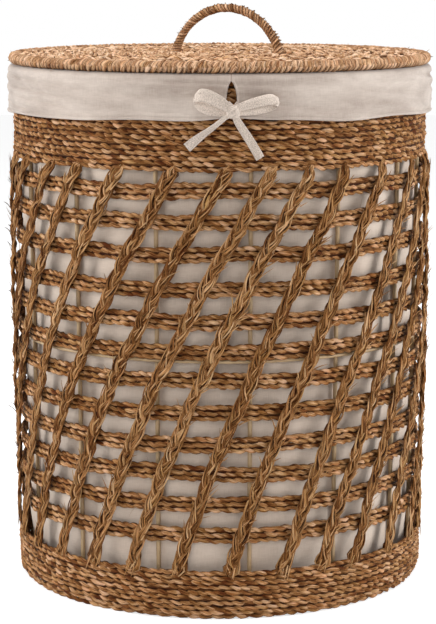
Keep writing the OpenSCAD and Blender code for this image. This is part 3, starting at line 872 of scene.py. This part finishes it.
def build_liner():
    low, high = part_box("liner_wall")
    rng = dice("liner")
    angle = np.arange(LINER_COLUMNS) / LINER_COLUMNS * TURN
    heights = np.linspace(low.z + 0.3 * MM, high.z, WALL_ROWS)
    share = np.linspace(0, 1, WALL_ROWS)[:, None]
    broad = soft_field(rng, WALL_ROWS, LINER_COLUMNS, 26, 1.2)
    pleats = soft_field(rng, WALL_ROWS, LINER_COLUMNS, 70, 0.5)
    slack = 0.35 + 0.65 * np.sin(math.pi * clamp(share * 1.05))
    inward = np.clip(slack * (1.0 + 0.7 * broad + 0.4 * pleats) * MM, 0.1 * MM, 4 * MM)
    points = around(high.x + wall_swell(heights, angle, high) - inward, angle, heights[:, None])
    wall = cloth_grid("liner_wall_cloth", points[::-1], np.append(angle, TURN) * high.x, heights[::-1, None],
                      WALL_THICK)
    dress(wall, "liner", "liner_cotton", BRIGHTENED_COTTON, "liner_wall")

    low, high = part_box("liner_floor")
    radii = np.linspace(1.5 * MM, high.x - 0.4 * MM, FLOOR_ROWS)[:, None]
    bumps = soft_field(rng, FLOOR_ROWS, LINER_COLUMNS, 12, 4) * clamp(radii / (60 * MM))
    level = low.z + 0.9 * MM + np.clip(0.6 + 0.5 * bumps, 0, 3) * MM
    whole_turn = np.append(angle, 0)
    floor = cloth_grid("liner_floor_cloth", around(radii, angle, level), np.sin(whole_turn) * radii,
                       -np.cos(whole_turn) * radii, WALL_THICK)
    dress(floor, "liner", "liner_cotton", BRIGHTENED_COTTON, "liner_floor")


SLIT_ANGLE = math.radians(2.8)
SLIT_Z = 469 * MM
SLIT_SHAPE = np.array([[-0.16, 0], [-0.12, 0.6], [0, 0.98], [0.25, 1], [0.5, 0.93], [0.72, 0.72],
                       [0.88, 0.42], [1, 0]])
SLIT_H = 24 * MM
SLIT_HALF = 4.5 * MM
SHOULDER = 6 * MM
HEM_Z, HEM_TILT, HEM_LIFT, HEM_WAVE = 453.6 * MM, 4.2 * MM, 3 * MM, 0.7 * MM
HEM_ROLL, HEM_GROOVE = 0.75 * MM, 0.6 * MM
SEAM_DEEP, SEAM_HALF = 1.3 * MM, 0.4 * MM
STITCH_START, STITCH_END, STITCH_STEP = 0.5 * MM, 3.4 * MM, 1.7 * MM
FOLD_COUNT, FOLD_DEEP, CREASES = 70, 0.9 * MM, 260
DROP_ROWS = 64


def cuff_profile(inner, outer, top):
    """The fold over the rim as (radius, height), from inside the liner to where the drop starts."""
    profile = [(inner - 0.4 * MM, top - 5 * MM), (inner - 0.3 * MM, top - 2.5 * MM),
               (inner + 0.6 * MM, top - 0.7 * MM), (inner + 2.4 * MM, top - 0.05 * MM)]
    flat_end = outer - SHOULDER
    profile += [(inner + (flat_end - inner) * s, top) for s in (0.35, 0.6, 0.85)]
    profile += [(flat_end + SHOULDER * math.sin(t), top - SHOULDER + SHOULDER * math.cos(t))
                for t in np.radians([0, 15, 30, 45, 60, 75, 90])]
    return np.array(profile)


def cuff_folds(rng, heights, degrees, hem, outer, top):
    """Soft folds and some sharper creases, calmer beside the slit."""
    folds = np.zeros_like(heights)
    for _ in range(FOLD_COUNT):
        k, m = rng.integers(1, 16), rng.uniform(25, 110)
        folds += np.sin(TURN * k * (degrees / 360) + TURN * m * heights + rng.uniform(0, TURN)) * rng.normal()
    folds /= math.sqrt(FOLD_COUNT / 2)
    folds *= FOLD_DEEP
    for _ in range(CREASES):
        middle, level = rng.uniform(0, 360), rng.uniform(hem.min() + 6 * MM, top - SHOULDER)
        long, narrow, tilt = rng.uniform(8, 32) * MM, rng.uniform(1.0, 2.6) * MM, rng.normal(0, 0.12)
        ahead = np.radians((degrees - middle + 180) % 360 - 180) * outer
        off = heights - level - tilt * ahead
        folds += rng.normal(0, 0.6) * MM * np.exp(-((ahead / long) ** 2) - (off / narrow) ** 2)
    calm = 1 - 0.9 * np.exp(-((np.minimum(degrees, 360 - degrees) / 10) ** 4))
    return np.where(folds > 0, 0.6 * folds * calm, folds)


def slit_half_width(heights, degrees, top, on_drop):
    """How far each edge of the slit is pulled aside; the left edge is lopsided."""
    at = (heights - SLIT_Z) / SLIT_H
    half = SLIT_HALF * np.interp(at, *SLIT_SHAPE.T, left=0, right=0)
    half = np.where(on_drop | (heights < top - 1 * MM), half, 0)
    lopsided = 1.6 * MM * bell(at - 0.3, 0.05) - 0.1 * half
    return half + np.where(degrees <= 180, 0.12 * half, lopsided) * (half > 0)


def build_cuff():
    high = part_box("liner_cuff")[1]
    rng = dice("cuff")
    outer, top, inner = high.x, high.z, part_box("liner_wall")[1].x
    near = np.concatenate([np.arange(0, 1.2, 0.08), np.arange(1.2, 3.2, 0.16), np.arange(3.2, 12, 0.4)])
    degrees = np.concatenate([near, np.arange(12, 348, 1.0), 360 - near[:0:-1], [360]])
    turned = np.radians(degrees)
    angle = SLIT_ANGLE + turned
    hem = HEM_Z + HEM_TILT * np.cos(angle) + HEM_LIFT * bell(np.minimum(degrees, 360 - degrees), 7)
    hem = hem + HEM_WAVE * np.interp(degrees, np.linspace(0, 360, 721), np.append(wander(rng, 720, 16), 0))
    hem[-1] = hem[0]

    profile = cuff_profile(inner, outer, top)
    share = np.linspace(0, 1, DROP_ROWS + 1)[1:, None]
    heights = np.vstack([np.tile(profile[:, 1:], len(angle)), (top - SHOULDER) * (1 - share) + hem * share])
    radii = np.tile(np.append(profile[:, 0], np.full(DROP_ROWS, outer))[:, None], len(angle))
    on_drop = np.arange(len(heights))[:, None] >= len(profile)
    drop = clamp((top - SHOULDER - heights) / (4 * MM))
    up = heights - hem
    radii += HEM_ROLL * (bell(up - 1.3 * MM, 1.0 * MM) * on_drop)
    radii -= HEM_GROOVE * bell(up - 3.1 * MM, 0.6 * MM) * on_drop
    radii += drop * cuff_folds(rng, heights, degrees, hem, outer, top)

    aside = np.minimum(turned, TURN - turned) * outer
    above = clamp((heights - SLIT_Z) / (2 * MM))
    radii -= SEAM_DEEP * bell(aside, SEAM_HALF) * above
    band = clamp((aside - STITCH_START) / (0.4 * MM)) * clamp((STITCH_END - aside) / (0.5 * MM))
    stitches = 0.5 + 0.14 * np.sin(TURN * heights / STITCH_STEP)
    radii += MM * stitches * band * above * drop * (turned < math.pi)
    beside_slit = (heights < SLIT_Z + 1.15 * SLIT_H) * on_drop
    radii += 0.45 * MM * beside_slit * clamp((2.9 * MM - aside) / (0.5 * MM))

    half = slit_half_width(heights, degrees, top, on_drop)
    right = np.where(degrees <= 180, 1, -1)
    push = right * half * np.exp(-aside / (9 * MM))
    points = around(radii, angle + push / outer, heights)
    weld = half[:, 0] < 0.25 * MM
    middle = (points[:, 0] + points[:, -1]) / 2
    points[weld, 0] = middle[weld]
    points[weld, -1] = middle[weld]
    along, fold = lengths(profile)
    v = np.vstack([np.tile(along[:, None], len(angle)), fold + (top - SHOULDER - heights[len(profile):])])
    cuff = cloth_grid("liner_cuff_cloth", points[::-1], turned * outer, v[::-1], CUFF_THICK,
                      closed=False, weld=weld[::-1])
    dress(cuff, "liner", "liner_cotton", COTTON, "liner_cuff")


# ---- tie ----

CROSSING_ASIDE, CROSSING_Z = 1.7 * MM, 467.5 * MM
KNOT_OUT, KNOT_LOW = 4.2 * MM, 1 * MM
KNOT_WIDE, KNOT_DEEP, KNOT_TALL = 6.1 * MM, 3.7 * MM, 5.8 * MM
TAPE_W, TAPE_T = 7 * MM, 1.2 * MM
LOOP_START, LOOP_END = 3.2, 14.2
ROUTE_STEPS = 6
# Each point as millimetres across, out from the cuff and up, the turn of the tape's width, and its width
LEFT_TAPE = [
    [-5.5, 0.9, 6, 50, 6], [-3, 1.5, 3.5, 50, 6], [0, 2.3, 1, 55, 5], [1.6, 3.5, 0.4, 60, 5],
    [0, 4.9, 1, 64, 6], [-6, 6.4, 4, 62, 8], [-14, 8, 9, 62, 10.2], [-22, 8.6, 13, 66, 10.6],
    [-29, 7.6, 14, 70, 10.6], [-33.6, 4.8, 12, 72, 9.2], [-33, 2, 8, 72, 9.2], [-28, 1.1, 4, 68, 10.4],
    [-20, 1, 0.6, 66, 10.4], [-12, 1.2, -1.4, 66, 8], [-5, 2.4, -2, 80, 4.6], [-2, 4.2, -3, 115, 4],
    [-7, 5, -6, 138, 3.6], [-12, 4.2, -10.2, 138, 3.9], [-19, 2.4, -15.8, 134, 4.6],
    [-26, 0.6, -21, 130, 5.6], [-33, -0.8, -26.4, 128, 6.8], [-40.8, -1.8, -33.2, 128, 7.6]]
RIGHT_TAPE = [
    [5.5, 0.9, 6, 120, 6], [3.6, 1.5, 3.5, 115, 6], [1, 2.5, 1.2, 108, 5], [-1, 3.8, 0.8, 105, 5],
    [1, 5.3, 1.2, 105, 5.5], [7, 6.6, 3.4, 104, 6.5], [15, 7.6, 6, 104, 7.6], [25, 8, 8.4, 104, 8.6],
    [33.5, 7.2, 10, 102, 9], [39.8, 4.6, 9.4, 100, 9], [39.8, 2, 7, 100, 9], [33, 1.1, 4, 104, 9],
    [24, 1, 1.6, 104, 8.6], [14, 1.2, -0.6, 104, 7], [6, 2.4, -2, 92, 5], [2.2, 4.2, -4, 60, 5.4],
    [3.8, 4.8, -9, 35, 6.2], [7.7, 3.2, -15.5, 30, 6.8], [14.4, 0.6, -26, 30, 7.2],
    [20.1, -1.2, -35.7, 30, 7.4], [24.1, -2, -42.7, 30, 7.4]]


def tie_place(rows):
    """Row-frame points, and the tape's width direction, for tie rows in metres and degrees."""
    cuff_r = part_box("liner_cuff")[1].x
    x = cuff_r * math.sin(SLIT_ANGLE) + CROSSING_ASIDE + rows[:, 0]
    y = -np.sqrt((cuff_r + rows[:, 1]) ** 2 - x**2)
    lean = np.arcsin(x / cuff_r)
    turn = np.radians(rows[:, 3])
    wide = np.stack([np.cos(turn) * np.cos(lean), np.cos(turn) * np.sin(lean), np.sin(turn)], 1)
    return np.stack([x, y, CROSSING_Z + rows[:, 2]], 1), wide


def build_tape(name, route, tip, crease, rng):
    """One tape along its route. Its loop is cupped and its turn, near point tip, is rounded."""
    rows = smooth_route(np.array(route) * [MM, MM, MM, 1, MM], ROUTE_STEPS)
    line, wide = tie_place(rows)
    n = len(line)
    place = np.arange(n) / ROUTE_STEPS
    _, face, wide = axes_along(line, wide)
    across = np.linspace(-1, 1, 11)
    loop = clamp(1 - ((place - (LOOP_START + LOOP_END) / 2) / 5.5) ** 2)
    cup = -1.5 * MM * loop[:, None] * across**2
    fold = crease * clamp(1 - np.abs(place - tip) / 4)[:, None] * bell(across, 0.3)
    dip = cup + fold + 0.15 * MM * np.sin(across * 5 + 2 * wander(rng, n, 12, False)[:, None])
    turned = bell(place - tip, 1.3)[:, None] * across**2
    inward = unit(line[round(LOOP_START * ROUTE_STEPS)] - line[round(tip * ROUTE_STEPS)])
    half = rows[:, 4:5] / 2 * (1 + 0.03 * wander(rng, n, 9, False)[:, None])
    middle = line[:, None] + (across * half)[..., None] * wide[:, None]
    middle = middle + 3.8 * MM * turned[..., None] * inward
    shell = 0.42 * TAPE_T * (1 - 0.25 * across**2)
    upper = middle + (dip + shell)[..., None] * face[:, None]
    lower = middle + (dip - shell)[..., None] * face[:, None]
    ends = (upper + lower) / 2
    edge = 0.3 * MM * wide[:, None]
    rings = np.concatenate([upper, ends[:, -1:] + edge, lower[:, ::-1], ends[:, :1] - edge], 1)
    span = TAPE_W * np.concatenate([(across + 1) / 2, [1.05], (across + 1) / 2 + 1.1, [2.2, 2.25]])
    weave = Weave()
    weave.add(rings[:, ::-1], 0.0, 0.0, (lengths(line)[0] + rng.uniform(0, 1))[:, None], span[::-1], False)
    return dress(weave.piece(name), "liner", "tie_tape", TAPE, name.replace("_tape", "")), line


def bulged(values, power):
    """The values to a power, with their signs kept."""
    return np.sign(values) * np.abs(values) ** power


def build_knot():
    """A squarish cushion of cloth over the crossing of the tapes."""
    columns, rows = 48, 32
    a = np.arange(columns) * TURN / columns
    b = np.linspace(-math.pi / 2, math.pi / 2, rows + 2)[1:-1, None]
    x = KNOT_WIDE * bulged(np.cos(b), 0.42) * bulged(np.cos(a), 0.7)
    y = KNOT_DEEP * bulged(np.cos(b), 0.5) * bulged(np.sin(a), 0.8)
    z = KNOT_TALL * bulged(np.sin(b), 0.85) * np.ones(columns)
    pinch = 1 + 0.06 * np.sin(b)
    ridge = 0.22 * MM * np.sin(x / KNOT_WIDE * 4 + 1.2 * z / KNOT_TALL) * np.cos(b)
    centre = tie_place(np.array([[0, KNOT_OUT, -KNOT_LOW, 0]]))[0][0]
    out = unit(centre * [1, 1, 0])
    across = np.array([-out[1], out[0], 0])
    rings = (centre + (x * pinch)[..., None] * across + (y + ridge * np.sin(a))[..., None] * out
             + z[..., None] * UP)
    weave = Weave()
    weave.add(rings, 0.0, 0.0, np.linspace(0, 12 * MM, rows)[:, None],
              np.arange(columns + 1) / columns * 24 * MM, False)
    return dress(weave.piece("tie_knot_cloth"), "liner", "tie_tape", TAPE, "tie_knot")


def build_tie():
    rng = dice("tie")
    left, left_line = build_tape("tie_left_tape", LEFT_TAPE, 9.3, 0.3 * MM, rng)
    right, right_line = build_tape("tie_right_tape", RIGHT_TAPE, 9.5, -0.8 * MM, rng)
    knot = build_knot()


# ---- lid ----

LID_COURSE = 15.2 * MM
STEP_SHARE = 0.16
LID_REPEAT = 36 * MM
LID_SWAY = 4.3 * MM
LID_RISE = 2.4 * MM
LID_TWIST = 95 * MM
LID_LEAVES = 3
LID_LEAF_W, LID_LEAF_T = 1.6 * MM, 1.15 * MM
LID_EDGE, LID_STEP, LID_DROOP = 0.9 * MM, 3.1 * MM, 1.3 * MM
PACKED_SHARE, PACKED_T = 0.56, 1.1 * MM
GROOVE_SHADE_IN, GROOVE_SHADE_LOW, GROOVE_SHADE_W, GROOVE_SHADE_T = 1.6 * MM, 1.2 * MM, 4.5 * MM, 0.9 * MM
LID_LOOSE_ENDS = 170
OUTER_SHARE = 0.56


def stepped_spiral(outer, course, height, step):
    """Level courses that step in at the back, from a tapered start to the centre: a line and its width."""
    turn = np.linspace(-STEP_SHARE, outer / course, 6000)
    stepped = np.floor(turn) + eased((turn % 1 - 1 + STEP_SHARE) / STEP_SHARE)
    share = clamp(stepped + 1)
    radius = np.where(turn < 0, outer - course * share / 2, outer - course * (stepped + 0.5))
    line = around(np.maximum(radius, 2.6 * MM), TURN * (turn + 0.53), height)
    along, whole = lengths(line)
    places = np.linspace(0, whole, round(whole / step))
    return read_off(places, along, line), 0.12 + 0.88 * np.interp(places, along, share)


def lid_plait(weave, line, width, rng):
    """Broad leaves plaited along a level line, thinned by width. Gives its points with their axes."""
    ahead, side, out = axes_along(line, UP)
    wave = wander_along(rng, line)
    wide, leaf_w = LID_SWAY * width, LID_LEAF_W * width
    for t in swings(line, LID_REPEAT, 0.25, rng):
        sway = np.sin(t) * wide * (1 + 0.1 * wave(50))
        middle = line + sway[:, None] * side + (LID_RISE * np.sin(2 * t))[:, None] * out
        slope = np.arctan2(np.cos(t) * wide * TURN / LID_REPEAT, 1.0)
        across = np.cos(slope)[:, None] * side - np.sin(slope)[:, None] * ahead
        roll = rng.uniform(0, TURN) + TURN * lengths(line)[0] / LID_TWIST + 0.5 * wave(40)
        hue = rng.normal(0, 0.3)
        for leaf in range(LID_LEAVES):
            shift = (leaf - (LID_LEAVES - 1) / 2) * leaf_w * 1.45 + 0.3 * leaf_w * wave(24)
            spin = 0.45 * np.sin(roll + leaf * 2.1)
            lift = np.abs(shift) * 0.25 * np.sin(spin) + 0.45 * LID_LEAF_T * wave(20)
            centre = middle + (shift * np.cos(spin))[:, None] * across + lift[:, None] * out
            swell = 1 + 0.2 * wave(18)
            shade = hue + rng.normal(0, 0.9) + 0.9 * wave(30)
            away = out + 0.35 * np.sin(roll)[:, None] * across
            # Painted shade where a strand passes beneath the others.
            weave.strand(centre, away, leaf_w * swell, LID_LEAF_T * swell, shade, rng, sides=5,
                         extra_shade=0.24 - 0.55 * np.sin(2 * t))
    return np.stack([line, ahead, side, out], 1)


def build_lid_disc(rng):
    low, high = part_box("lid_disc")
    middle = (low.z + high.z) / 2
    line, width = stepped_spiral(high.x - LID_EDGE, LID_COURSE, middle, LID_STEP)
    line[:, 2] += 0.35 * MM * wander(rng, len(line), 160, False)
    line[:, 2] -= LID_DROOP * np.exp(-inside_of(high.x)(line) / (9 * MM))
    cut = int(len(line) * OUTER_SHARE)
    for name, part in (("lid_weave_outer", slice(cut + 1)), ("lid_weave_inner", slice(cut, None))):
        weave = Weave()
        run = line[part]
        # A dark packed layer beneath the plait: painted shade that shows between the strands.
        weave.strand(run, UP, PACKED_SHARE * LID_COURSE * width[part], PACKED_T, -0.9, rng, extra_shade=0.35)
        if name == "lid_weave_outer":
            # A dark strand round the lid's edge, in the groove beside the rim: painted shade.
            edge, _, up = ring_line(high.x - GROOVE_SHADE_IN, middle - GROOVE_SHADE_LOW, 360)
            weave.strand(edge, up, GROOVE_SHADE_W, GROOVE_SHADE_T, -1.4, rng, closed=True, extra_shade=0.5)
        spots = lid_plait(weave, run, width[part], rng)
        for spot in spots[rng.integers(4, len(run) - 4, LID_LOOSE_ENDS)]:
            loosened(rng, weave, spot, either_way(rng), rng.uniform(0, 6), 1.5,
                     (rng.uniform(0.4, 1), 1, rng.uniform(0.3, 1.6)),
                     rng.uniform(0.5, 0.9), rng.uniform(2, 6))
        show_backs(weave, lambda points: middle + 0.6 * MM - points[:, 2])
        dress(weave.piece(name), "lid", "seagrass_lid", LID, "lid_disc")


def build_lid_rim(rng):
    radius, height, roll = roll_round("lid_rim_wrap")
    weave = Weave()
    wrapping(weave, *ring_line(radius, height), roll + 0.25 * MM, LID_STRIP, rng, True, bulge=1.0 * MM,
             slant=2.4, tone=-0.1, underside_shade=0.5, vary=0.5, gap_shade=0.8)

    def tip(rng):
        angle, lean = rng.uniform(0, TURN), rng.uniform(-0.9, 1.4)
        out = around(math.cos(lean), angle, math.sin(lean))
        way = around(1, angle + math.pi / 2, 0) * either_way(rng) + out * rng.uniform(0.1, 0.9)
        return around(radius, angle, height) + out * (roll - 0.3 * MM), unit(way), out

    fuzz(weave, 70, tip, 3.5 * MM, rng, thick=0.34 * MM, sides=4)
    dress(weave.piece("lid_rim_wrapping"), "lid", "seagrass_lid", LID, "lid_rim_wrap")


HANDLE_SHIFT = 7 * MM
HANDLE_TURN = math.radians(-29)
HANDLE_R = 59.43 * MM
HANDLE_D = 8.4 * MM
HANDLE_STRIP = 3.2 * MM
STRIP_POINTS = 7


def build_handle():
    low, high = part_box("handle_wrap")
    rng = dice("handle")
    centre_z = high.z - HANDLE_D / 2 - HANDLE_R
    foot = math.acos((low.z - centre_z) / HANDLE_R)
    way = np.array([math.cos(HANDLE_TURN), math.sin(HANDLE_TURN), 0])
    normal = np.cross(way, UP)
    centre = np.array([HANDLE_SHIFT, 0, centre_z])
    t = np.linspace(-foot - 0.02, foot + 0.02, 160)[:, None]
    out = np.sin(t) * way + np.cos(t) * UP
    line = centre + HANDLE_R * out
    saw = np.linspace(0.3, 2.3, round(lengths(line)[1] / HANDLE_STRIP * STRIP_POINTS)) * MM
    weave = Weave()
    wrapping(weave, line, out, np.tile(normal, (len(t), 1)), HANDLE_D / 2 - 0.3 * MM, HANDLE_STRIP, rng,
             False, per_strip=STRIP_POINTS, sides=18, spread=0.2 * MM, saw=saw, slant=3.6, tone=-0.6,
             flare=2 * MM, vary=0.45, gap_shade=1.0)

    def tip(rng):
        place = rng.uniform(-foot * 0.95, foot * 0.95)
        outward = math.sin(place) * way + math.cos(place) * UP
        lean = rng.normal(0, 0.8)
        off = math.cos(lean) * outward + math.sin(lean) * normal
        ahead = math.cos(place) * way - math.sin(place) * UP
        start = centre + HANDLE_R * outward + off * (HANDLE_D / 2 - 0.5 * MM)
        return start, unit(off + ahead * rng.uniform(-0.9, -0.2)), off

    fuzz(weave, 60, tip, 1.5 * MM, rng, thick=0.42 * MM, sides=4)
    dress(weave.piece("handle_wrapping"), "lid", "seagrass_lid", LID, "handle_wrap")


# ---- the whole basket ----

build_tie()
build_foot()
build_top_band()
build_rows()
build_plaits()
build_rim()
build_base()
build_liner()
build_cuff()
lid_dice = dice("lid")
build_lid_disc(lid_dice)
build_lid_rim(lid_dice)
build_handle()


# ---- studio ----

FLOOR_REACH, FLOOR_DROP = 6, 0.2 * MM
WHITE = (1, 1, 1, 1)
DAYLIGHT = (0.95, 0.98, 1)


def seen_white(tree):
    """1 for what the camera sees, straight or in a gloss or through glass."""
    path = node(tree, "LightPath", {}).outputs
    share = maths(tree, "MAXIMUM", path["Is Camera Ray"], path["Is Glossy Ray"])
    return maths(tree, "MAXIMUM", share, path["Is Transmission Ray"])


def build_floor():
    mesh = bpy.data.meshes.new("floor")
    near, far = -FLOOR_REACH, FLOOR_REACH
    corners = [(x, y, -FLOOR_DROP) for x, y in ((near, near), (far, near), (far, far), (near, far))]
    mesh.from_pydata(corners, [], [(0, 1, 2, 3)])
    floor = placed("floor", mesh)
    material, tree, shader = fresh("floor")
    feed(tree, shader, {"Base Color": (0.85, 0.85, 0.85, 1), "Roughness": 0.9, "Emission Color": WHITE,
                        "Emission Strength": maths(tree, "MULTIPLY", seen_white(tree), 0.62)})
    floor.data.materials.append(material)


def build_world():
    world = bpy.data.worlds.new("studio")
    bpy.context.scene.world = world
    world.use_nodes = True
    tree = world.node_tree
    lit = tree.nodes["Background"]
    feed(tree, lit, {"Color": WHITE, "Strength": 0.3})
    white = node(tree, "Background", {"Color": WHITE, "Strength": 1})
    both = node(tree, "MixShader", {0: seen_white(tree), 1: lit.outputs[0], 2: white.outputs[0]})
    feed(tree, tree.nodes["World Output"], {"Surface": both.outputs[0]})


build_floor()
build_world()
add_light("left", (-2.2, -0.35, 0.9), (0, 0, 0.3), 1.3, 33, DAYLIGHT)
add_light("right", (2.2, -0.35, 0.8), (0, 0, 0.3), 1.3, 36, DAYLIGHT)
add_light("front", (-0.3, -2.5, 1.3), (0, 0, 0.3), 1.2, 14)
add_light("top", (-0.1, -0.3, 2.4), (0, 0, 0.4), 1.2, 29)
bpy.context.scene.view_settings.view_transform = "Standard"
